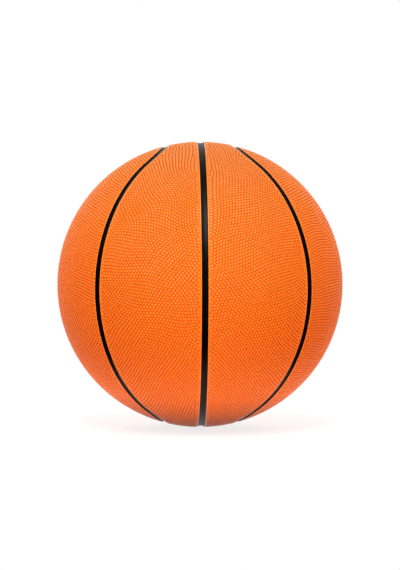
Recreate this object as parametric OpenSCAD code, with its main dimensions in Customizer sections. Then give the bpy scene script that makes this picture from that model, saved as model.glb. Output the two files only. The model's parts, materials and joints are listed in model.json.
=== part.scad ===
// Basketball of full size, built in layers: an inflated bladder with its valve, a wound
// thread layer, a rubber carcass, eight cover panels and the channel strips between them.
// The ball's centre is the origin, +Z is up, and the main channel lies in the plane x = 0.

/* [Ball] */
// Radius over the cover, for a circumference of 749
ball_r = 119.25; // [112:0.25:126]
// Thickness of the cover panels
cover_t = 2; // [1.7:0.1:2.6]
// Thickness of the rubber carcass under the cover
carcass_t = 0.8; // [0.5:0.1:1.5]
// Thickness of the wound thread layer
winding_t = 0.6; // [0.4:0.1:1.2]
// Thickness of the bladder's wall
bladder_t = 0.9; // [0.6:0.1:1.5]
// Bond line between two pieces that are glued together
bond_gap = 0.05; // [0.03:0.01:0.08]

/* [Channels] */
// Width of a channel between the walls of two panels
channel_w = 4.8; // [4:0.1:6]
// Depth of a channel at its middle
channel_depth = 1.2; // [1:0.05:1.4]
// Height that a strip's edges rise over its dished middle
strip_dish = 0.3; // [0.15:0.05:0.4]
// Width of the rolled edge of a panel
lip_w = 0.8; // [0.5:0.1:1.2]
// Drop of the rolled edge from the ball's surface to the channel's wall
lip_drop = 0.5; // [0.3:0.05:0.6]
// Angle from the side pole to the long stretch of an oval seam, seen from above
side_angle = 44; // [40:1:50]
// Angle from the centre of an oval seam's round end to the seam
end_angle = 27; // [24:1:30]

/* [Valve] */
// Angle round the equator from the main channel at the back to the valve
valve_angle = 22; // [16:1:30]
// Radius of the valve's neck where it passes through the layers
neck_r = 4.2; // [3.8:0.1:5.5]
// Depth of the neck's face under the ball's surface
neck_recess = 0.35; // [0.2:0.05:0.8]
// Radius of the flange that is bonded inside the bladder
flange_r = 17; // [13:0.5:22]
// Thickness of the flange at the neck
flange_t = 1.6; // [1:0.1:2.5]
// Thickness of the flange at its rim
flange_rim_t = 0.5; // [0.3:0.1:0.9]
// Radius of the stem that holds the plug inside the ball
stem_r = 5.5; // [5:0.1:7]
// Length of the stem below the flange
stem_l = 11; // [9:0.5:16]
// Thickness of the stem's floor under the plug
stem_floor_t = 1.2; // [0.8:0.1:2]
// Radius of the plug's shank
plug_r = 2.4; // [2:0.1:2.8]
// Radius of the bead that locks the plug in the stem
bead_r = 3.3; // [2.9:0.1:3.5]
// Length of the bead at the plug's inner end
bead_l = 3; // [2:0.1:4]
// Radius of the needle hole
needle_r = 1; // [0.7:0.05:1.3]
// Length of the needle hole
needle_l = 12; // [8:0.5:13]
// Radius of the funnel at the needle hole's mouth
funnel_r = 1.6; // [1.4:0.05:1.9]
// Depth of the funnel
funnel_l = 0.8; // [0.4:0.1:1.2]

/* [Hidden] */
$fn = 96;
// Segments of a circle as large as the ball where only a thin piece of it is used
large_circle_fn = 240;

panel_colour = [0.93, 0.42, 0.16];
strip_colour = [0.05, 0.05, 0.05];
carcass_colour = [0.15, 0.14, 0.13];
winding_colour = [0.85, 0.82, 0.74];
bladder_colour = [0.10, 0.10, 0.11];
valve_colour = [0.08, 0.08, 0.08];

// Each layer's outer and inner radius, from the cover inwards
cover_in_r = ball_r - cover_t;
carcass_r = cover_in_r - bond_gap;
carcass_in_r = carcass_r - carcass_t;
winding_r = carcass_in_r - bond_gap;
winding_in_r = winding_r - winding_t;
bladder_r = winding_in_r - bond_gap;
bladder_in_r = bladder_r - bladder_t;
flange_out_r = bladder_in_r - bond_gap;

// Overrun of a cut past the faces that it goes through
cut_over = 1;
// How far past the ball's surface a cutting form reaches
form_reach = 1.6 * ball_r;
// How far the rolled edge's break lies along its width and up its drop
lip_share = 0.35;

// An oval seam is four arcs that run into each other smoothly. Its long stretches lie in
// upright planes through the centre, and its round ends are circles about these poles.
end_pole_angle = acos(sin(end_angle) / sin(side_angle));
end_half_sweep = acos(tan(end_angle) * tan(end_pole_angle));
side_half_sweep = asin(sin(end_pole_angle) / cos(end_angle));
// Angle from the side pole to where an oval seam crosses the cross channel
crossing_angle = end_pole_angle + end_angle;

// One side of the channel's cross-section, as [distance from the ball's centre, distance
// from the channel's middle]. The panel's rolled edge is two bevels, and the outer one
// meets the ball's surface at a low angle.
lip_run_out = lip_w * (1 - lip_share) * cut_over / (lip_drop * lip_share);
channel_side = [
    [cover_in_r - cut_over, channel_w / 2],
    [ball_r - lip_drop, channel_w / 2],
    [ball_r - lip_drop * lip_share, channel_w / 2 + lip_w * lip_share],
    [ball_r, channel_w / 2 + lip_w],
    [ball_r + cut_over, channel_w / 2 + lip_w + lip_run_out]
];

module channel_section() {
    polygon(concat(
        [for (p = channel_side) [p[0], -p[1]]],
        [for (i = [len(channel_side) - 1 : -1 : 0]) channel_side[i]]
    ));
}

// The room that a strip needs, for trimming the strips that butt against it
module strip_room() {
    translate([cover_in_r - cut_over, -channel_w / 2])
        square([cover_t + 2 * cut_over, channel_w]);
}

// A strip's cross-section: flat on the carcass, dished on top
strip_half_w = channel_w / 2 - bond_gap;
strip_t = cover_t - channel_depth + strip_dish;
dish_r = (pow(strip_half_w, 2) + pow(strip_dish, 2)) / (2 * strip_dish);

module strip_section() {
    difference() {
        translate([cover_in_r, -strip_half_w])
            square([strip_t, 2 * strip_half_w]);
        translate([ball_r - channel_depth + dish_r, 0])
            circle(dish_r);
    }
}

// The arcs of the seams. Each sweeps the cross-section that it is given about its own pole.
module main_arc() {
    rotate([0, 90, 0])
        rotate_extrude()
            children();
}

module whole_cross_arc() {
    rotate([90, 0, 0])
        rotate_extrude()
            children();
}

module cross_arc(from_angle, to_angle) {
    rotate([90, 0, 0])
        rotate_extrude(start = from_angle, angle = to_angle - from_angle)
            children();
}

// The long stretch of the right oval seam, on the front half of the ball
module side_arc(butt_angle = 0) {
    rotate([-90, 0, -side_angle])
        rotate_extrude(start = butt_angle - side_half_sweep, angle = 2 * (side_half_sweep - butt_angle))
            children();
}

// The round end of the right oval seam, at the top of the ball
module end_arc(butt_angle = 0) {
    rotate([0, 90 - end_pole_angle, 0])
        rotate_extrude(start = 180 - end_half_sweep + butt_angle, angle = 2 * (end_half_sweep - butt_angle))
            rotate(90 - end_angle)
                children();
}

// Turns the right side, the front and the top into the side that is asked for
module on_side(side) {
    mirror([side < 0 ? 1 : 0, 0, 0]) children();
}

module on_back(back) {
    mirror([0, back > 0 ? 1 : 0, 0]) children();
}

module on_bottom(bottom) {
    mirror([0, 0, bottom < 0 ? 1 : 0]) children();
}

module layer(out_r, in_r) {
    difference() {
        sphere(out_r);
        sphere(in_r);
    }
}

// The front half of the right oval seam, from the top of the ball to the bottom, as places
// [direction from the centre, direction across the seam and away from the side pole]
end_steps = 18;
side_steps = 40;

function top_end_place(turn) =
    let (across = cos(end_pole_angle), along = sin(end_pole_angle))
    [
        [
            across * cos(end_angle) - along * sin(end_angle) * cos(turn),
            -sin(end_angle) * sin(turn),
            along * cos(end_angle) + across * sin(end_angle) * cos(turn)
        ],
        [
            -across * sin(end_angle) - along * cos(end_angle) * cos(turn),
            -cos(end_angle) * sin(turn),
            -along * sin(end_angle) + across * cos(end_angle) * cos(turn)
        ]
    ];

function side_place(height) =
    [
        [cos(height) * cos(side_angle), -cos(height) * sin(side_angle), sin(height)],
        [-sin(side_angle), -cos(side_angle), 0]
    ];

function upside_down(place) = [for (v = place) [v[0], v[1], -v[2]]];

half_end = [for (i = [0 : end_steps - 1]) top_end_place(i / end_steps * end_half_sweep)];
half_oval = concat(
    half_end,
    [for (i = [0 : side_steps]) side_place(side_half_sweep * (1 - 2 * i / side_steps))],
    [for (i = [end_steps - 1 : -1 : 0]) upside_down(half_end[i])]
);

// All that lies inside the front half of the right oval seam, out past the ball's surface.
// With outside = 1 it takes in the channel, and with -1 it stops at the side panel's edge.
module oval_form(outside) {
    profile = concat(channel_side, [[form_reach, channel_side[4][1]]]);
    rows = len(profile);
    places = len(half_oval);
    rim = [for (place = half_oval, p = profile) p[0] * place[0] + outside * p[1] * place[1]];
    centre = 0;
    side_pole = places * rows + 1;
    bands = [
        for (i = [0 : places - 2], j = [0 : rows - 2])
            let (a = 1 + i * rows + j)
            [a, a + 1, a + rows + 1, a + rows]
    ];
    cone = [for (i = [0 : places - 2]) [centre, 1 + i * rows, 1 + (i + 1) * rows]];
    lid = [for (i = [1 : places - 1]) [side_pole, (i + 1) * rows, i * rows]];
    cut_face = concat(
        [centre],
        [for (j = [1 : rows]) (places - 1) * rows + j],
        [side_pole],
        [for (j = [rows : -1 : 1]) j]
    );
    polyhedron(concat([[0, 0, 0]], rim, [[form_reach, 0, 0]]), concat(bands, cone, lid, [cut_face]));
}

module front_right_quarter() {
    translate([0, -form_reach, -form_reach])
        cube([form_reach, form_reach, 2 * form_reach]);
}

// The front right quarter of the cover, up to the main channel and the cross channel
module cover_quarter() {
    difference() {
        intersection() {
            layer(ball_r, cover_in_r);
            front_right_quarter();
        }
        main_arc() channel_section();
        whole_cross_arc() channel_section();
    }
}

// A centre panel lies between the main channel, an oval seam and the cross channel
module centre_panel(side, back) {
    on_side(side) on_back(back)
        difference() {
            cover_quarter();
            oval_form(1);
        }
}

// A side panel lies inside an oval seam, on one side of the cross channel
module side_panel(side, back) {
    on_side(side) on_back(back)
        intersection() {
            cover_quarter();
            oval_form(-1);
        }
}

module front_left_panel() {
    color(panel_colour) centre_panel(-1, -1);
}

module front_right_panel() {
    color(panel_colour) centre_panel(1, -1);
}

module back_left_panel() {
    color(panel_colour) centre_panel(-1, 1);
}

module back_right_panel() {
    color(panel_colour)
        difference() {
            centre_panel(1, 1);
            neck_hole();
        }
}

module left_front_side_panel() {
    color(panel_colour) side_panel(-1, -1);
}

module left_back_side_panel() {
    color(panel_colour) side_panel(-1, 1);
}

module right_front_side_panel() {
    color(panel_colour) side_panel(1, -1);
}

module right_back_side_panel() {
    color(panel_colour) side_panel(1, 1);
}

// The main channel's strip is one ring. The others are lengths that butt together.
module centre_strip() {
    color(strip_colour) main_arc() strip_section();
}

// Sweep that a bond line takes off each end of a length of strip
side_butt_angle = bond_gap / 2 / ball_r * 180 / PI;
end_butt_angle = side_butt_angle / sin(end_angle);

module seam_side_strip(side, back) {
    color(strip_colour)
        on_side(side) on_back(back) side_arc(side_butt_angle) strip_section();
}

module seam_end_strip(side, bottom) {
    color(strip_colour)
        on_side(side) on_bottom(bottom) end_arc(end_butt_angle) strip_section();
}

// A cross strip runs over the side pole, from the top end of an oval seam to the bottom end
module cross_strip(side) {
    color(strip_colour)
        on_side(side)
            difference() {
                cross_arc(-crossing_angle, crossing_angle) strip_section();
                end_arc() strip_room();
                on_bottom(-1) end_arc() strip_room();
            }
}

// A bridge strip closes the cross channel between an oval seam and the main channel
module bridge_strip(side, bottom) {
    color(strip_colour)
        on_side(side) on_bottom(bottom)
            difference() {
                cross_arc(crossing_angle, 90) strip_section();
                end_arc() strip_room();
                main_arc() strip_room();
            }
}

// The valve's parts are turned about +Z and then laid along the valve's axis
module on_valve_axis() {
    rotate([-90, 0, -valve_angle]) children();
}

neck_top = ball_r - neck_recess;
flange_bottom = sqrt(pow(flange_out_r, 2) - pow(stem_r, 2)) - flange_t;
stem_bottom = flange_bottom - stem_l;
plug_bottom = stem_bottom + stem_floor_t;
flange_rim_z = sqrt(pow(flange_out_r, 2) - pow(flange_r, 2)) - flange_rim_t;
plug_gap = bond_gap;

// The hole through a layer that the valve's neck passes
module neck_hole() {
    on_valve_axis()
        translate([0, 0, bladder_in_r - flange_t])
            cylinder(r = neck_r + bond_gap, h = ball_r - bladder_in_r + flange_t + cut_over);
}

module bladder() {
    color(bladder_colour)
        difference() {
            layer(bladder_r, bladder_in_r);
            neck_hole();
        }
}

module winding() {
    color(winding_colour)
        difference() {
            layer(winding_r, winding_in_r);
            neck_hole();
        }
}

module carcass() {
    color(carcass_colour)
        difference() {
            layer(carcass_r, carcass_in_r);
            neck_hole();
        }
}

// A flange bonded inside the bladder, a stem that reaches into the ball, and a neck that
// passes out through the layers. The pocket takes the plug and has a groove for its bead.
module valve_housing() {
    color(valve_colour)
        on_valve_axis()
            rotate_extrude()
                difference() {
                    union() {
                        intersection() {
                            circle(flange_out_r, $fn = large_circle_fn);
                            polygon([
                                [0, stem_bottom],
                                [stem_r, stem_bottom],
                                [stem_r, flange_bottom],
                                [flange_r, flange_rim_z],
                                [flange_r, flange_out_r],
                                [0, flange_out_r]
                            ]);
                        }
                        translate([0, flange_bottom])
                            square([neck_r, neck_top - flange_bottom]);
                    }
                    translate([0, plug_bottom])
                        square([plug_r + plug_gap, neck_top - plug_bottom + cut_over]);
                    translate([0, plug_bottom])
                        square([bead_r + plug_gap, bead_l + plug_gap]);
                }
}

module valve_plug() {
    color(valve_colour)
        on_valve_axis()
            rotate_extrude()
                polygon([
                    [0, plug_bottom + plug_gap],
                    [bead_r, plug_bottom + plug_gap],
                    [bead_r, plug_bottom + bead_l],
                    [plug_r, plug_bottom + bead_l],
                    [plug_r, neck_top],
                    [funnel_r, neck_top],
                    [needle_r, neck_top - funnel_l],
                    [needle_r, neck_top - needle_l],
                    [0, neck_top - needle_l]
                ]);
}

bladder();
winding();
carcass();
valve_housing();
valve_plug();
front_left_panel();
front_right_panel();
back_left_panel();
back_right_panel();
left_front_side_panel();
left_back_side_panel();
right_front_side_panel();
right_back_side_panel();
centre_strip();
seam_side_strip(-1, -1);  // left_front_seam_strip
seam_side_strip(-1, 1);  // left_back_seam_strip
seam_end_strip(-1, 1);  // left_top_seam_strip
seam_end_strip(-1, -1);  // left_bottom_seam_strip
seam_side_strip(1, -1);  // right_front_seam_strip
seam_side_strip(1, 1);  // right_back_seam_strip
seam_end_strip(1, 1);  // right_top_seam_strip
seam_end_strip(1, -1);  // right_bottom_seam_strip
cross_strip(-1);  // left_cross_strip
cross_strip(1);  // right_cross_strip
bridge_strip(-1, 1);  // top_left_bridge_strip
bridge_strip(1, 1);  // top_right_bridge_strip
bridge_strip(-1, -1);  // bottom_left_bridge_strip
bridge_strip(1, -1);  // bottom_right_bridge_strip
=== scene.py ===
"""A pebbled rubber basketball, dressed over its CAD frame.

Each cover panel is one closed mesh. Its pebbles are the cells of a relaxed hexagonal lattice
whose rows bend in slow swirls. Along the channels it ends in a smooth rolled lip, which is
black beside the channel, like the channel's wall. The channel strips, the valve and the
layers inside stay as the CAD solids and get their materials here.
"""

import json
import math

import bpy
import numpy as np
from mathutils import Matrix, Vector
from mathutils.geometry import delaunay_2d_cdt


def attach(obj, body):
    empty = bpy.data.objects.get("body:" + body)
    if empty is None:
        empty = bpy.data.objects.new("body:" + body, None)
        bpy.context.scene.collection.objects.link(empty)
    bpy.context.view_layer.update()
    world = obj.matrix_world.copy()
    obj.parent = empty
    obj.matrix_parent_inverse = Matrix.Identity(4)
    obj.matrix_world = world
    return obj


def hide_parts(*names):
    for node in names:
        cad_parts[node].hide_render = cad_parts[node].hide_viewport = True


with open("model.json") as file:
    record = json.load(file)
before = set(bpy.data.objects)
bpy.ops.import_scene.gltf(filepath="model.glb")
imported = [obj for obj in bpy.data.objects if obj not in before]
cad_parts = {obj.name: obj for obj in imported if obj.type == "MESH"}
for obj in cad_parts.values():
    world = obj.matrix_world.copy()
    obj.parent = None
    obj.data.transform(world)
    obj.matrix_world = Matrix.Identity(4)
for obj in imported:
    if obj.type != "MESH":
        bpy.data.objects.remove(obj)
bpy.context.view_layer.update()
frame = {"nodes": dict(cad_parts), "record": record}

MM = 0.001

# The ball and its seams, as in the CAD source
BALL_R = 119.25 * MM
COVER_IN_R = 117.25 * MM
CHANNEL_W = 4.8 * MM
LIP_W = 0.8 * MM
SIDE_ANGLE = math.radians(44)
END_ANGLE = math.radians(27)
VALVE_ANGLE = math.radians(22)
VALVE_HOLE_R = 4.25 * MM
END_POLE_ANGLE = math.acos(math.sin(END_ANGLE) / math.sin(SIDE_ANGLE))
SIDE_HALF_SWEEP = math.asin(math.sin(END_POLE_ANGLE) / math.cos(END_ANGLE))

# Half the size of the map on which a panel's pebbles are laid out, and the factor by which the
# lattice reaches past the map before it is cut to it
MAP_HALF_UP = 0.5 * math.pi * BALL_R
MAP_HALF_ACROSS = 0.6 * BALL_R
LATTICE_MARGIN = 1.2

# The lattice of the pebbles: pitch, random offset as a share of it, and the swirl of the rows
PITCH = 2.75 * MM
JITTER = 0.035
WARP_AMPLITUDE = 1.1 * MM
WARP_WAVELENGTHS = (38 * MM, 90 * MM)
WARP_WAVES = 7
RELAX_STEPS = 3
FIRST_SEED = 11

# The radius of the pebbles' tops, how far they vary, a pebble's depths below them, and its rings
# as shares of the way from its centre to its rim
TOP_R = BALL_R - 0.04 * MM
CROWN_VARIATION = 0.02 * MM
DEPTHS = {"inner": 0.07 * MM, "outer": 0.41 * MM, "side": 0.61 * MM, "pit": 0.74 * MM}
INNER_SHARE = 0.46
OUTER_SHARE_CORNER = 0.74
OUTER_SHARE_SIDE = 0.80

# The lip: distance from the channel's wall and depth below TOP_R, from where the pebbles end to
# the wall. From PAINT_EDGE on it is black
LIP_EDGE = LIP_W + 0.55 * MM
LIP_EDGE_DEPTH = 0.30 * MM
PAINT_EDGE = 0.32 * LIP_W
LIP_ROWS = (
    (LIP_W + 0.30 * MM, 0.09 * MM),
    (LIP_W, 0.02 * MM),
    (0.6 * LIP_W, 0.10 * MM),
    (PAINT_EDGE, 0.25 * MM),
    (0.02 * LIP_W, 0.62 * MM),
)

# How close to a second channel a panel's edge starts to round, how often the lip's edge is
# smoothed, and the factor on distances from the valve's hole, which widens the land round it
CORNER_ROUNDING = 1.8 * MM
EDGE_SMOOTHING = 3
VALVE_LAND_SCALE = 0.55

# How close seeds come to the lip's edge, and how far from it they are mirrored across it
SEED_CLEARANCE = 0.42 * PITCH
GHOST_REACH = 2.3 * PITCH

# The plain inner face of a panel
INNER_FILL_PITCH = 12 * MM
INNER_FILL_CLEARANCE = 0.4 * INNER_FILL_PITCH

# Steps and limits of the sums. The slope's two axes are laid out from a direction that is a
# little above and east of the panel's middle
SLOPE_STEP = 1e-4
LEVEL_STEPS = 6
LEAST_SLOPE = 0.3
LEAST_SLOPE_SQUARED = 0.05
MERGE_DISTANCE = 1e-9
OFF_AXIS_UP = 0.37
OFF_AXIS_EAST = 0.11

# Above this angle between two faces, their edge isn't shaded smooth
SHARP_ANGLE = math.radians(72)

# Node, kind, left or right and front or back as -1 or 1, tilt of the pebble rows in degrees,
# strength of their swirl, and whether the valve's hole is in the panel
PANELS = (
    ("front_left_panel", "centre", -1, -1, 6, 1.5, False),
    ("front_right_panel", "centre", 1, -1, 15, 1.0, False),
    ("back_left_panel", "centre", -1, 1, 15, 1.0, False),
    ("back_right_panel", "centre", 1, 1, 4, 1.5, True),
    ("left_front_side_panel", "side", -1, -1, 15, 1.5, False),
    ("left_back_side_panel", "side", -1, 1, 4, 1.0, False),
    ("right_front_side_panel", "side", 1, -1, 4, 1.0, False),
    ("right_back_side_panel", "side", 1, 1, 15, 1.5, False),
)

X, Y, Z = np.eye(3)


def unit(v):
    return v / np.linalg.norm(v, axis=-1, keepdims=True)


def soft_min(a, b, k):
    """The smaller of a and b, rounded where they meet."""
    h = np.clip(k - np.abs(a - b), 0, None) / k
    return np.minimum(a, b) - h * h * k / 4


def oval_distance(u):
    """Distance from the middle of the right oval seam, above 0 outside the oval."""
    side_dir = np.array([math.cos(SIDE_ANGLE), -math.sin(SIDE_ANGLE), 0])
    side_across = np.array([-math.sin(SIDE_ANGLE), -math.cos(SIDE_ANGLE), 0])
    height = np.arctan2(u[:, 2], u @ side_dir)
    end_pole = np.stack([
        np.full(len(u), math.cos(END_POLE_ANGLE)),
        np.zeros(len(u)),
        np.sign(u[:, 2]) * math.sin(END_POLE_ANGLE),
    ], axis=1)
    from_pole = np.arccos(np.clip((u * end_pole).sum(1), -1, 1))
    along_side = np.arcsin(np.clip(u @ side_across, -1, 1))
    angle = np.where(np.abs(height) <= SIDE_HALF_SWEEP, along_side, from_pole - END_ANGLE)
    return BALL_R * angle


def circumcentres(points, tri):
    a, b, c = (points[tri[:, k]] for k in range(3))
    return unit(np.cross(b - a, c - a))


def paired_edges(a, b, count):
    """Positions of the two half edges that join the same two of count points."""
    key = np.minimum(a, b) * count + np.maximum(a, b)
    order = np.argsort(key, kind="stable")
    paired = np.flatnonzero(key[order][1:] == key[order][:-1])
    return order[paired], order[paired + 1]


def loops_of(after):
    """Closed loops of vertex ids from a dict of each vertex's next one."""
    left, found = dict(after), []
    while left:
        start = next(iter(left))
        loop, at = [], start
        while at in left:
            loop.append(at)
            at = left.pop(at)
        found.append(np.array(loop))
    return found


class Build:
    """Collects a panel's vertices, as directions and radii, and its triangles."""

    def __init__(self):
        self.points, self.radii = np.empty((0, 3)), np.empty(0)
        self.faces, self.painted = [], []

    def add(self, directions, radius):
        """Adds vertices at one radius, or at one each, and returns their ids."""
        start, count = len(self.points), len(directions)
        self.points = np.concatenate([self.points, unit(directions)])
        self.radii = np.concatenate([self.radii, np.broadcast_to(radius, count)])
        return np.arange(start, start + count)

    def directions(self, ids):
        return self.points[ids]

    def place(self, ids, directions, radius):
        self.points[ids] = directions
        self.radii[ids] = radius

    def strip(self, inside, outside, painted):
        """Triangles between two loops that run with the panel on their left."""
        next_in, next_out = np.roll(inside, -1), np.roll(outside, -1)
        faces = self.painted if painted else self.faces
        faces.append(np.stack([outside, next_out, next_in], axis=1))
        faces.append(np.stack([outside, next_in, inside], axis=1))

    def result(self, mirror):
        """Vertices, triangles and, for each triangle, 1 where the channel's black covers it."""
        co = self.points * self.radii[:, None] * mirror
        faces = np.concatenate(self.faces + self.painted)
        black = np.zeros(len(faces), dtype=np.int32)
        black[sum(map(len, self.faces)):] = 1
        if np.prod(mirror) < 0:
            faces = faces[:, ::-1]
        return co, faces, black


class Panel:
    """One cover panel, worked out on the front right quarter and mirrored into place."""

    def __init__(self, seed, kind, side, back, tilt, swirl, valve):
        self.kind, self.swirl, self.valve = kind, swirl, valve
        self.tilt = math.radians(tilt)
        self.mirror = np.array([side, -back, 1])
        self.rng = np.random.default_rng(seed)
        quarter = math.pi / 2
        seam = quarter - SIDE_ANGLE
        middle = seam / 2 if kind == "centre" else (seam + quarter) / 2
        self.forward = math.sin(middle) * X - math.cos(middle) * Y
        self.east = math.cos(middle) * X + math.sin(middle) * Y
        self.valve_dir = math.sin(VALVE_ANGLE) * X - math.cos(VALVE_ANGLE) * Y

    def distance(self, u):
        """Distance from the channel's wall, above 0 on the panel."""
        half = CHANNEL_W / 2
        cross = BALL_R * np.arcsin(np.clip(-u[:, 1], -1, 1)) - half
        oval = oval_distance(u)
        if self.kind == "side":
            return soft_min(cross, -oval - half, CORNER_ROUNDING)
        main = BALL_R * np.arcsin(np.clip(u[:, 0], -1, 1)) - half
        d = soft_min(soft_min(main, cross, CORNER_ROUNDING), oval - half, CORNER_ROUNDING)
        if self.valve:
            from_axis = BALL_R * np.arccos(np.clip(u @ self.valve_dir, -1, 1))
            d = np.minimum(d, (from_axis - VALVE_HOLE_R) * VALVE_LAND_SCALE)
        return d

    def slope(self, u):
        """Gradient of the distance along the sphere."""
        a = unit(np.cross(u, self.forward + OFF_AXIS_UP * Z + OFF_AXIS_EAST * self.east))
        b = np.cross(u, a)
        g = np.zeros_like(u)
        for t in (a, b):
            ahead = self.distance(unit(u + SLOPE_STEP * t))
            behind = self.distance(unit(u - SLOPE_STEP * t))
            g += ((ahead - behind) / (2 * SLOPE_STEP * BALL_R))[:, None] * t
        return g

    def to_level(self, u, level):
        """Moves points along the sphere until their distance from the wall is level."""
        for _ in range(LEVEL_STEPS):
            g = self.slope(u)
            gap = level - self.distance(u)
            squared = np.maximum((g * g).sum(1), LEAST_SLOPE_SQUARED)
            u = unit(u + (gap / squared / BALL_R)[:, None] * g)
        return u

    def from_map(self, p):
        """Map coordinates, across and up along the panel's middle meridian, to directions."""
        across, up = p[:, :1] / BALL_R, p[:, 1:] / BALL_R
        return np.cos(across) * (np.cos(up) * self.forward + np.sin(up) * Z) + np.sin(across) * self.east

    def warp(self, p):
        """A smooth swirl that bends the lattice's rows."""
        moved = np.zeros_like(p)
        for _ in range(WARP_WAVES):
            wavelength = self.rng.uniform(*WARP_WAVELENGTHS)
            heading, phase = self.rng.uniform(0, 2 * math.pi, 2)
            k = np.array([math.cos(heading), math.sin(heading)])
            wave = np.sin(p @ k * 2 * math.pi / wavelength + phase)
            moved += wave[:, None] * np.array([-k[1], k[0]]) * wavelength / WARP_WAVELENGTHS[1]
        return p + moved * WARP_AMPLITUDE * self.swirl

    def lattice(self):
        """Seeds of the pebbles: a turned hexagonal lattice, bent, jittered and cut at the lip."""
        reach = int(LATTICE_MARGIN * (MAP_HALF_UP + MAP_HALF_ACROSS) / PITCH)
        i, j = np.meshgrid(np.arange(-reach, reach + 1), np.arange(-reach, reach + 1))
        p = np.stack([(i + 0.5 * j).ravel(), (math.sqrt(0.75) * j).ravel()], axis=1) * PITCH
        c, s = math.cos(self.tilt), math.sin(self.tilt)
        p = p @ np.array([[c, s], [-s, c]])
        p = p[(np.abs(p[:, 0]) < MAP_HALF_ACROSS) & (np.abs(p[:, 1]) < MAP_HALF_UP)]
        p = self.warp(p) + self.rng.normal(0, JITTER * PITCH, p.shape)
        u = self.from_map(p)
        return u[self.distance(u) > LIP_EDGE + SEED_CLEARANCE]

    def ghosts(self, u):
        """Mirror images of the outermost seeds across the lip's edge."""
        gap = self.distance(u) - LIP_EDGE
        near = gap < GHOST_REACH
        u, gap = u[near], gap[near]
        g = self.slope(u)
        size = np.linalg.norm(g, axis=1)
        turn = (2 * gap / np.maximum(size, LEAST_SLOPE) / BALL_R)[:, None]
        return unit(u * np.cos(turn) - g / size[:, None] * np.sin(turn))

    def flat(self, u):
        """Stereographic picture about the panel's middle, which keeps circles as circles."""
        return np.stack([u @ self.east, u @ Z], axis=1) / (1 + u @ self.forward)[:, None]

    def triangles(self, u, edges=()):
        """Delaunay triangles of directions on the sphere, anticlockwise seen from outside."""
        points = [Vector(p) for p in self.flat(u)]
        _, _, faces, origin, _, _ = delaunay_2d_cdt(points, list(edges), [], 0, MERGE_DISTANCE, True)
        index = np.array([o[0] for o in origin])
        return index[np.array(faces)]

    def relax(self, u):
        """Moves each seed to the middle of its cell."""
        points = np.concatenate([u, self.ghosts(u)])
        tri = self.triangles(points)
        corner = circumcentres(points, tri)
        weight, total = np.zeros(len(points)), np.zeros((len(points), 3))
        for k in range(3):
            a, b, c = (points[tri[:, (k + n) % 3]] for n in range(3))
            for p, q in ((unit(a + b), corner), (corner, unit(a + c))):
                area = (np.cross(p - a, q - a) * a).sum(1)
                np.add.at(weight, tri[:, k], area)
                np.add.at(total, tri[:, k], area[:, None] * (a + p + q) / 3)
        n = len(u)
        return unit(total[:n] / weight[:n, None])

    def pebbles(self, build, seeds):
        """Adds the pebbles and returns the loops round them, with the panel on their left.

        A pebble is a cell round its seed, with a crown, an inner and an outer ring, and a rim
        that runs from pit to pit through the middle of each side.
        """
        n = len(seeds)
        points = np.concatenate([seeds, self.ghosts(seeds)])
        tri = self.triangles(points)
        tri = tri[(tri < n).any(1)]
        corner = circumcentres(points, tri)

        crown = TOP_R - self.rng.uniform(0, CROWN_VARIATION, n)
        crown_id = build.add(seeds, crown)
        pit_id = build.add(corner, TOP_R - DEPTHS["pit"])
        own = tri < n
        seed_of = np.where(own, tri, 0)

        def corner_ring(share, depth):
            """A vertex on the way from each pebble's seed to each of its corners."""
            ids = np.full(tri.shape, -1)
            at = seeds[seed_of] * (1 - share) + corner[:, None] * share
            ids[own] = build.add(at[own], TOP_R - depth)
            return ids

        inner_id = corner_ring(INNER_SHARE, DEPTHS["inner"])
        outer_id = corner_ring(OUTER_SHARE_CORNER, DEPTHS["outer"])

        # Half edges: from a to b, with triangle t on the left, whose corner k is at a, and the
        # twin's triangle on the right
        t = np.repeat(np.arange(len(tri)), 3)
        k = np.tile(np.arange(3), len(tri))
        a, b = tri[t, k], tri[t, (k + 1) % 3]
        first, second = paired_edges(a, b, len(points))
        twin = np.full(len(t), -1)
        twin[first], twin[second] = second, first
        side_id = np.full(len(t), -1)
        middles = unit(corner[t[first]] + corner[t[second]])
        side_id[first] = side_id[second] = build.add(middles, TOP_R - DEPTHS["side"])

        # A half edge that starts at a pebble's seed gets the eight triangles of the pebble's side
        # towards b
        use = np.flatnonzero((a < n) & (twin >= 0))
        a, b, t, k, twin, side = a[use], b[use], t[use], k[use], twin[use], side_id[use]
        right_t, right_k = twin // 3, (twin % 3 + 1) % 3
        at = seeds[a] * (1 - OUTER_SHARE_SIDE) + build.directions(side) * OUTER_SHARE_SIDE
        outer_side = build.add(at, TOP_R - DEPTHS["outer"])
        pit_right, pit_left = pit_id[right_t], pit_id[t]
        outer_right, outer_left = outer_id[right_t, right_k], outer_id[t, k]
        inner_right, inner_left = inner_id[right_t, right_k], inner_id[t, k]
        build.faces += [
            np.stack(corners, axis=1) for corners in (
                (pit_right, side, outer_side),
                (pit_right, outer_side, outer_right),
                (side, pit_left, outer_left),
                (side, outer_left, outer_side),
                (outer_right, outer_side, inner_right),
                (outer_side, inner_left, inner_right),
                (outer_side, outer_left, inner_left),
                (inner_right, inner_left, crown_id[a]),
            )
        ]

        rim = b >= n
        after = dict(zip(pit_right[rim].tolist(), side[rim].tolist()))
        after.update(zip(side[rim].tolist(), pit_left[rim].tolist()))
        return loops_of(after)

    def edge(self, build, loop):
        """Adds the lip and the wall outside a loop of pebbles, and returns the wall's foot."""
        u = build.directions(loop)
        for _ in range(EDGE_SMOOTHING):
            u = self.to_level(u, LIP_EDGE)
            u = unit(u + 0.5 * (np.roll(u, 1, axis=0) + np.roll(u, -1, axis=0)))
        u = self.to_level(u, LIP_EDGE)
        build.place(loop, u, TOP_R - LIP_EDGE_DEPTH)
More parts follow.
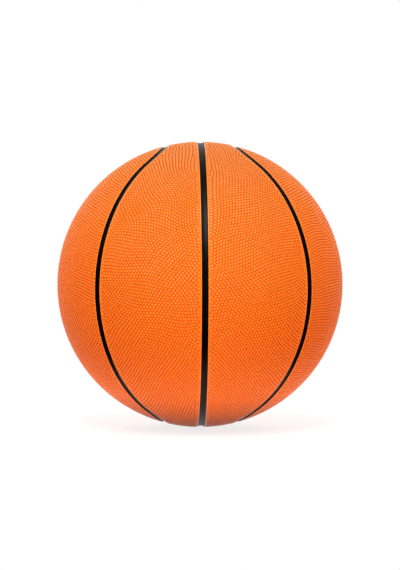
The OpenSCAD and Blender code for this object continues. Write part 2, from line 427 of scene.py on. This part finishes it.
        # The valve's hole is the loop that stays within VALVE_ANGLE of the valve. It isn't black
        at_channel = (u @ self.valve_dir).min() < math.cos(VALVE_ANGLE)
        inside = loop
        for level, depth in LIP_ROWS:
            u = self.to_level(u, level)
            outside = build.add(u, TOP_R - depth)
            build.strip(inside, outside, at_channel and level < PAINT_EDGE)
            inside = outside
        foot = build.add(u, COVER_IN_R)
        build.strip(inside, foot, at_channel)
        return foot

    def close_inside(self, build, walls):
        """Fills the panel's inner face between the feet of its walls."""
        step = np.arange(-MAP_HALF_UP, MAP_HALF_UP, INNER_FILL_PITCH)
        grid = np.stack(np.meshgrid(step, step), axis=-1).reshape(-1, 2)
        grid = grid[np.abs(grid[:, 0]) < MAP_HALF_ACROSS]
        u = self.from_map(grid)
        u = u[self.distance(u) > INNER_FILL_CLEARANCE]
        fill = build.add(u, COVER_IN_R)
        edges, start = [], 0
        for wall in walls:
            count = len(wall)
            edges += [(start + i, start + (i + 1) % count) for i in range(count)]
            start += count
        ids = np.concatenate(walls + [fill])
        directions = build.directions(ids)
        faces = self.triangles(directions, edges)
        middle = unit(directions[faces].sum(1))
        faces = faces[self.distance(middle) > 0]
        build.faces.append(ids[faces][:, ::-1])

    def mesh(self):
        """Vertices in metres, the closed panel's triangles, and which of them are black."""
        seeds = self.lattice()
        for _ in range(RELAX_STEPS):
            seeds = self.relax(seeds)
        build = Build()
        walls = [self.edge(build, loop) for loop in self.pebbles(build, seeds)]
        self.close_inside(build, walls)
        return build.result(self.mirror)


def mesh_object(name, co, faces, slots):
    mesh = bpy.data.meshes.new(name)
    mesh.vertices.add(len(co))
    mesh.vertices.foreach_set("co", co.astype(np.float32).ravel())
    mesh.loops.add(faces.size)
    mesh.loops.foreach_set("vertex_index", faces.astype(np.int32).ravel())
    mesh.polygons.add(len(faces))
    mesh.polygons.foreach_set("loop_start", np.arange(0, faces.size, 3, dtype=np.int32))
    mesh.polygons.foreach_set("material_index", slots)
    mesh.update(calc_edges=True)
    mesh.shade_smooth()
    mesh.set_sharp_from_angle(angle=SHARP_ANGLE)
    obj = bpy.data.objects.new(name, mesh)
    bpy.context.scene.collection.objects.link(obj)
    return obj


# Where a Mix node has its colour sockets, which share their names with those for numbers
MIX_COLOUR_A = 6
MIX_COLOUR_B = 7
MIX_COLOUR_RESULT = 2


class Tree:
    """The nodes of a material or of the world, with a short call for each kind in use."""

    def __init__(self, owner):
        owner.use_nodes = True
        self.nodes, self.links = owner.node_tree.nodes, owner.node_tree.links
        self.nodes.clear()

    def put(self, value, socket):
        """Links a node's output to a socket, or sets the socket to a number or a colour."""
        if isinstance(value, bpy.types.NodeSocket):
            self.links.new(value, socket)
        elif isinstance(value, tuple):
            socket.default_value = (*value, 1)
        else:
            socket.default_value = value

    def fill(self, node, values):
        """Puts values into a node's inputs, each under the input's name or number."""
        for key, value in values.items():
            self.put(value, node.inputs[key])

    def object_coords(self):
        return self.nodes.new("ShaderNodeTexCoord").outputs["Object"]

    def noise(self, coords, scale, detail):
        node = self.nodes.new("ShaderNodeTexNoise")
        self.fill(node, {"Vector": coords, "Scale": scale, "Detail": detail})
        return node.outputs["Fac"]

    def ramp(self, value, span, result):
        """Maps value from the two ends of span to the two ends of result."""
        node = self.nodes.new("ShaderNodeMapRange")
        self.fill(node, {"Value": value, "From Min": span[0], "From Max": span[1]})
        self.fill(node, {"To Min": result[0], "To Max": result[1]})
        return node.outputs[0]

    def larger(self, a, b):
        node = self.nodes.new("ShaderNodeMath")
        node.operation = "MAXIMUM"
        self.fill(node, {0: a, 1: b})
        return node.outputs[0]

    def mix(self, share, a, b):
        """A number between a and b."""
        node = self.nodes.new("ShaderNodeMix")
        self.fill(node, {"Factor": share, "A": a, "B": b})
        return node.outputs["Result"]

    def mix_colour(self, share, a, b):
        """A colour between a and b."""
        node = self.nodes.new("ShaderNodeMix")
        node.data_type = "RGBA"
        self.fill(node, {"Factor": share, MIX_COLOUR_A: a, MIX_COLOUR_B: b})
        return node.outputs[MIX_COLOUR_RESULT]

    def bump(self, height, strength, distance):
        node = self.nodes.new("ShaderNodeBump")
        self.fill(node, {"Height": height, "Strength": strength, "Distance": distance})
        return node.outputs[0]


# Materials. A noise is a scale and a detail, and a bump is a strength and a height

# The middle of a noise's values, over which colours and roughness change, and a share's span
NOISE_SPAN = (0.3, 0.7)
WHOLE = (0, 1)

# The cover darkens and dulls from the pebbles' tops to the valleys, whose depths are below TOP_R. The
# valleys' darker colour is painted shade, and the tops' paler yellow-orange is partly the rubber's own
# and partly painted highlight
# The tops' colours: the rubber's orange, made paler and yellower in part as painted highlight
COVER_TOPS = (0.93, 0.208, 0.007), (0.95, 0.232, 0.009)
# Painted glints: pale yellow flecks on the pebbles' tops
COVER_PAINTED_GLINTS = (0.97, 0.310, 0.022)
# Painted shade: the valleys' colour, darker where shade falls between the pebbles
COVER_VALLEYS_PAINTED_SHADE = (0.55, 0.088, 0.0009)
VALLEY_DEPTH = 0.60 * MM
CREST_DEPTH = 0.02 * MM
COVER_GLOSS = 0.44
TOP_ROUGHNESS = (0.20, 0.28)
VALLEY_ROUGHNESS = 0.65
COVER_CLOUD = 26, 4
# Noise, span and strength of the painted glints on the tops
PAINTED_GLINT_NOISE = 420, 2
PAINTED_GLINT_SPAN = (0.35, 0.7)
PAINTED_GLINT_STRENGTH = (0, 0.5)
COVER_GRAIN = 2600, 3
COVER_BUMP = 0.12, 0.03 * MM

# Other rubber: specular level and tint, then dark and pale colour, roughness, grain and gloss
CHANNEL_GLOSS = 0.14, (0.95, 1.0, 1.0)
PLAIN_GLOSS = 0.5, (1.0, 1.0, 1.0)
RUBBERS = {
    "channel": ((0.0008, 0.0008, 0.0008), (0.0024, 0.0024, 0.0024), (0.34, 0.46), 1800, CHANNEL_GLOSS),
    "carcass": ((0.020, 0.018, 0.016), (0.034, 0.031, 0.028), (0.60, 0.75), 1500, PLAIN_GLOSS),
    "bladder": ((0.010, 0.010, 0.012), (0.035, 0.035, 0.038), (0.45, 0.60), 900, PLAIN_GLOSS),
    "valve": ((0.008, 0.008, 0.008), (0.018, 0.018, 0.018), (0.50, 0.62), 2400, PLAIN_GLOSS),
}
RUBBER_CLOUD = 38, 5
RUBBER_CLOUD_SPAN = (0.35, 0.75)
RUBBER_GRAIN_DETAIL = 3
RUBBER_BUMP = 0.35, 0.04 * MM

# The wound thread, dark between its turns
THREAD_DARK = (0.36, 0.31, 0.21)
THREAD_PALE = (0.72, 0.68, 0.56)
THREAD_SCALE = 260
THREAD_DISTORTION = 1.5
THREAD_BUMP = 0.6, 0.2 * MM
THREAD_ROUGHNESS = 0.7


def new_material(name):
    """A material with a Principled shader, and the tree that the shader is in."""
    material = bpy.data.materials.new(name)
    tree = Tree(material)
    shader = tree.nodes.new("ShaderNodeBsdfPrincipled")
    tree.put(shader.outputs[0], tree.nodes.new("ShaderNodeOutputMaterial").inputs[0])
    return material, tree, shader


def cover_material():
    material, tree, shader = new_material("pebbled_cover_rubber")
    coords = tree.object_coords()
    length = tree.nodes.new("ShaderNodeVectorMath")
    length.operation = "LENGTH"
    tree.put(coords, length.inputs[0])
    valley_to_crest = (TOP_R - VALLEY_DEPTH, TOP_R - CREST_DEPTH)
    # raised runs from 0 in the valleys to 1 on the tops, and mixes the valleys' painted shade into the
    # colour
    raised = tree.ramp(length.outputs["Value"], valley_to_crest, WHOLE)
    cloud = tree.noise(coords, *COVER_CLOUD)
    # Pale flecks on the tops that are painted glints
    painted_glints = tree.ramp(tree.noise(coords, *PAINTED_GLINT_NOISE), PAINTED_GLINT_SPAN, PAINTED_GLINT_STRENGTH)
    # The tops' colour, partly painted highlight, varies at random with the cloud
    tops = tree.mix_colour(tree.ramp(cloud, NOISE_SPAN, WHOLE), *COVER_TOPS)
    tops = tree.mix_colour(painted_glints, tops, COVER_PAINTED_GLINTS)
    top_roughness = tree.ramp(cloud, NOISE_SPAN, TOP_ROUGHNESS)
    # The base colour holds painted shade in the valleys, painted highlight in part on the tops, and
    # painted glints
    tree.fill(shader, {
        "Specular IOR Level": COVER_GLOSS,
        "Base Color": tree.mix_colour(raised, COVER_VALLEYS_PAINTED_SHADE, tops),
        "Roughness": tree.mix(raised, VALLEY_ROUGHNESS, top_roughness),
        "Normal": tree.bump(tree.noise(coords, *COVER_GRAIN), *COVER_BUMP),
    })
    return material


def rubber_material(name, dark, pale, roughness, grain_scale, gloss):
    """Plain moulded rubber with a clouded surface and a fine grain."""
    material, tree, shader = new_material(name)
    level, tint = gloss
    coords = tree.object_coords()
    cloud = tree.noise(coords, *RUBBER_CLOUD)
    share = tree.ramp(cloud, RUBBER_CLOUD_SPAN, WHOLE)
    grain = tree.noise(coords, grain_scale, RUBBER_GRAIN_DETAIL)
    tree.fill(shader, {
        "Specular IOR Level": level,
        "Specular Tint": tint,
        "Base Color": tree.mix_colour(share, dark, pale),
        "Roughness": tree.ramp(cloud, NOISE_SPAN, roughness),
        "Normal": tree.bump(grain, *RUBBER_BUMP),
    })
    return material


def thread_material():
    """Thread wound in great circles and set in latex."""
    material, tree, shader = new_material("wound_thread")
    coords = tree.object_coords()

    def turns(axis):
        """The turns of thread across one axis."""
        wave = tree.nodes.new("ShaderNodeTexWave")
        wave.bands_direction = axis
        tree.fill(wave, {"Vector": coords, "Scale": THREAD_SCALE, "Distortion": THREAD_DISTORTION})
        return wave.outputs["Fac"]

    share = tree.larger(tree.larger(turns("X"), turns("Y")), turns("Z"))
    tree.fill(shader, {
        "Base Color": tree.mix_colour(share, THREAD_DARK, THREAD_PALE),
        "Roughness": THREAD_ROUGHNESS,
        "Normal": tree.bump(share, *THREAD_BUMP),
    })
    return material


MATERIALS = {slot: rubber_material(slot + "_rubber", *facts) for slot, facts in RUBBERS.items()}
MATERIALS["winding"] = thread_material()
cover = cover_material()

for number, (node, *facts) in enumerate(PANELS):
    co, faces, black = Panel(FIRST_SEED + number, *facts).mesh()
    panel = mesh_object("pebbled_" + node, co, faces, black)
    panel.data.materials.append(cover)
    panel.data.materials.append(MATERIALS["channel"])
    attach(panel, "root")
    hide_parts(node)
    print(node, "triangles", len(faces))

for part in frame["record"]["subparts"]:
    if part["material_slot"] in MATERIALS:
        solid = frame["nodes"][part["node"]]
        solid.data.materials.clear()
        solid.data.materials.append(MATERIALS[part["material_slot"]])
        solid.data.shade_smooth()

# Stage: a small white floor that keeps a soft shadow. What the camera and reflections see of
# it glows over a dim grey, and other light meets a plain grey
FLOOR_R = 0.13
FLOOR_SIDES = 96
FLOOR_GREY = (0.65, 0.65, 0.65)
FLOOR_DIM_GREY = (0.28, 0.28, 0.28)
FLOOR_GLOW = 0.80


def floor_material():
    material = bpy.data.materials.new("white_floor")
    tree = Tree(material)
    path = tree.nodes.new("ShaderNodeLightPath").outputs
    seen = tree.larger(path["Is Camera Ray"], path["Is Glossy Ray"])
    plain = tree.nodes.new("ShaderNodeBsdfDiffuse")
    tree.put(FLOOR_GREY, plain.inputs["Color"])
    dim = tree.nodes.new("ShaderNodeBsdfDiffuse")
    tree.put(FLOOR_DIM_GREY, dim.inputs["Color"])
    glow = tree.nodes.new("ShaderNodeEmission")
    tree.put(FLOOR_GLOW, glow.inputs["Strength"])
    glowing = tree.nodes.new("ShaderNodeAddShader")
    tree.fill(glowing, {0: dim.outputs[0], 1: glow.outputs[0]})
    either = tree.nodes.new("ShaderNodeMixShader")
    tree.fill(either, {0: seen, 1: plain.outputs[0], 2: glowing.outputs[0]})
    tree.put(either.outputs[0], tree.nodes.new("ShaderNodeOutputMaterial").inputs[0])
    return material


bpy.ops.mesh.primitive_circle_add(
    vertices=FLOOR_SIDES, radius=FLOOR_R, fill_type="NGON", location=(0, 0, -BALL_R))
floor = bpy.context.object
floor.name = "floor"
floor.data.materials.append(floor_material())

# The studio lights the ball palely from overhead, dimly from the sides and more strongly from
# a backdrop behind it. The camera sees it white, and so do reflections of the backdrop
CEILING_HEIGHT = (0.30, 0.60)
CEILING_LEVEL = (0.03, 0.25)
BACKDROP_DEPTH = (0.35, 0.85)
BACKDROP_LIGHT = 0.35
WHITE_LEVEL = 1
WHITE = (1, 1, 1)


def studio_world():
    world = bpy.data.worlds.new("studio")
    tree = Tree(world)
    path = tree.nodes.new("ShaderNodeLightPath").outputs
    place = tree.nodes.new("ShaderNodeSeparateXYZ")
    tree.put(tree.nodes.new("ShaderNodeTexCoord").outputs["Generated"], place.inputs[0])
    seen = tree.larger(path["Is Camera Ray"], path["Is Transmission Ray"])
    pale = tree.larger(seen, path["Is Glossy Ray"])
    studio = tree.ramp(place.outputs["Z"], CEILING_HEIGHT, CEILING_LEVEL)
    backdrop = tree.ramp(pale, WHOLE, (BACKDROP_LIGHT, WHITE_LEVEL))
    behind = tree.ramp(place.outputs["Y"], BACKDROP_DEPTH, WHOLE)
    level = tree.mix(tree.larger(seen, behind), studio, backdrop)
    background = tree.nodes.new("ShaderNodeBackground")
    tree.fill(background, {"Color": WHITE, "Strength": level})
    tree.put(background.outputs[0], tree.nodes.new("ShaderNodeOutputWorld").inputs[0])
    return world


bpy.context.scene.world = studio_world()

# Light from above is slightly cool. Light from low down in front and from behind is warm
HIGH_LIGHT = (0.90, 1.0, 1.0)
LOW_LIGHT = (1.0, 0.62, 0.56)
BACK_LIGHT = (1.0, 0.84, 0.78)

# Name, turn from the front to the right and rise in degrees, distance and size in metres,
# power in watts, whether reflections show it, and colour
LAMPS = (
    ("key", -9, 52, 1.5, (0.55, 0.75), 12.2, True, HIGH_LIGHT),
    ("top_fill", -7, 74, 1.5, (1.2, 1.2), 9.5, False, HIGH_LIGHT),
    ("left_fill", -46, -12, 1.8, (1.2, 1.2), 31, False, LOW_LIGHT),
    ("right_fill", 46, -12, 1.8, (1.2, 1.2), 31, False, LOW_LIGHT),
    ("back_fill", 180, 12, 1.8, (1.4, 1.4), 50, False, BACK_LIGHT),
)


def away(turn, rise):
    """Direction from the ball, turned from its front to the right and then raised."""
    return Vector((math.cos(rise) * math.sin(turn), -math.cos(rise) * math.cos(turn), math.sin(rise)))


def face_ball(obj, direction, distance):
    obj.location = direction * distance
    obj.rotation_euler = direction.to_track_quat("Z", "Y").to_euler()
    bpy.context.scene.collection.objects.link(obj)


def area_light(name, turn, rise, distance, size, power, mirrored, colour):
    """A softbox that faces the ball."""
    lamp = bpy.data.lights.new(name, "AREA")
    lamp.shape = "RECTANGLE"
    lamp.size, lamp.size_y = size
    lamp.energy = power
    lamp.color = colour
    obj = bpy.data.objects.new(name, lamp)
    obj.visible_glossy = mirrored
    face_ball(obj, away(math.radians(turn), math.radians(rise)), distance)


for lamp in LAMPS:
    area_light(*lamp)

# Camera, from the photograph: its distance and place fit the seams' perspective, its lens the
# ball's outline. It stands to the left of the ball's front and above its middle
CAMERA_DISTANCE = 18 * BALL_R
CAMERA_TURN = math.radians(-2.02)
CAMERA_RISE = math.radians(2.95)
FOCAL_PIXELS = 2565.5
FRAME_HEIGHT_PIXELS = 570
BALL_ABOVE_MIDDLE_PIXELS = 0.66
SENSOR = 36

camera_data = bpy.data.cameras.new("camera")
camera_data.sensor_width = SENSOR
camera_data.lens = FOCAL_PIXELS / FRAME_HEIGHT_PIXELS * SENSOR
camera_data.shift_y = -BALL_ABOVE_MIDDLE_PIXELS / FRAME_HEIGHT_PIXELS
camera = bpy.data.objects.new("camera", camera_data)
face_ball(camera, away(CAMERA_TURN, CAMERA_RISE), CAMERA_DISTANCE)
bpy.context.scene.camera = camera
bpy.context.scene.view_settings.view_transform = "Standard"
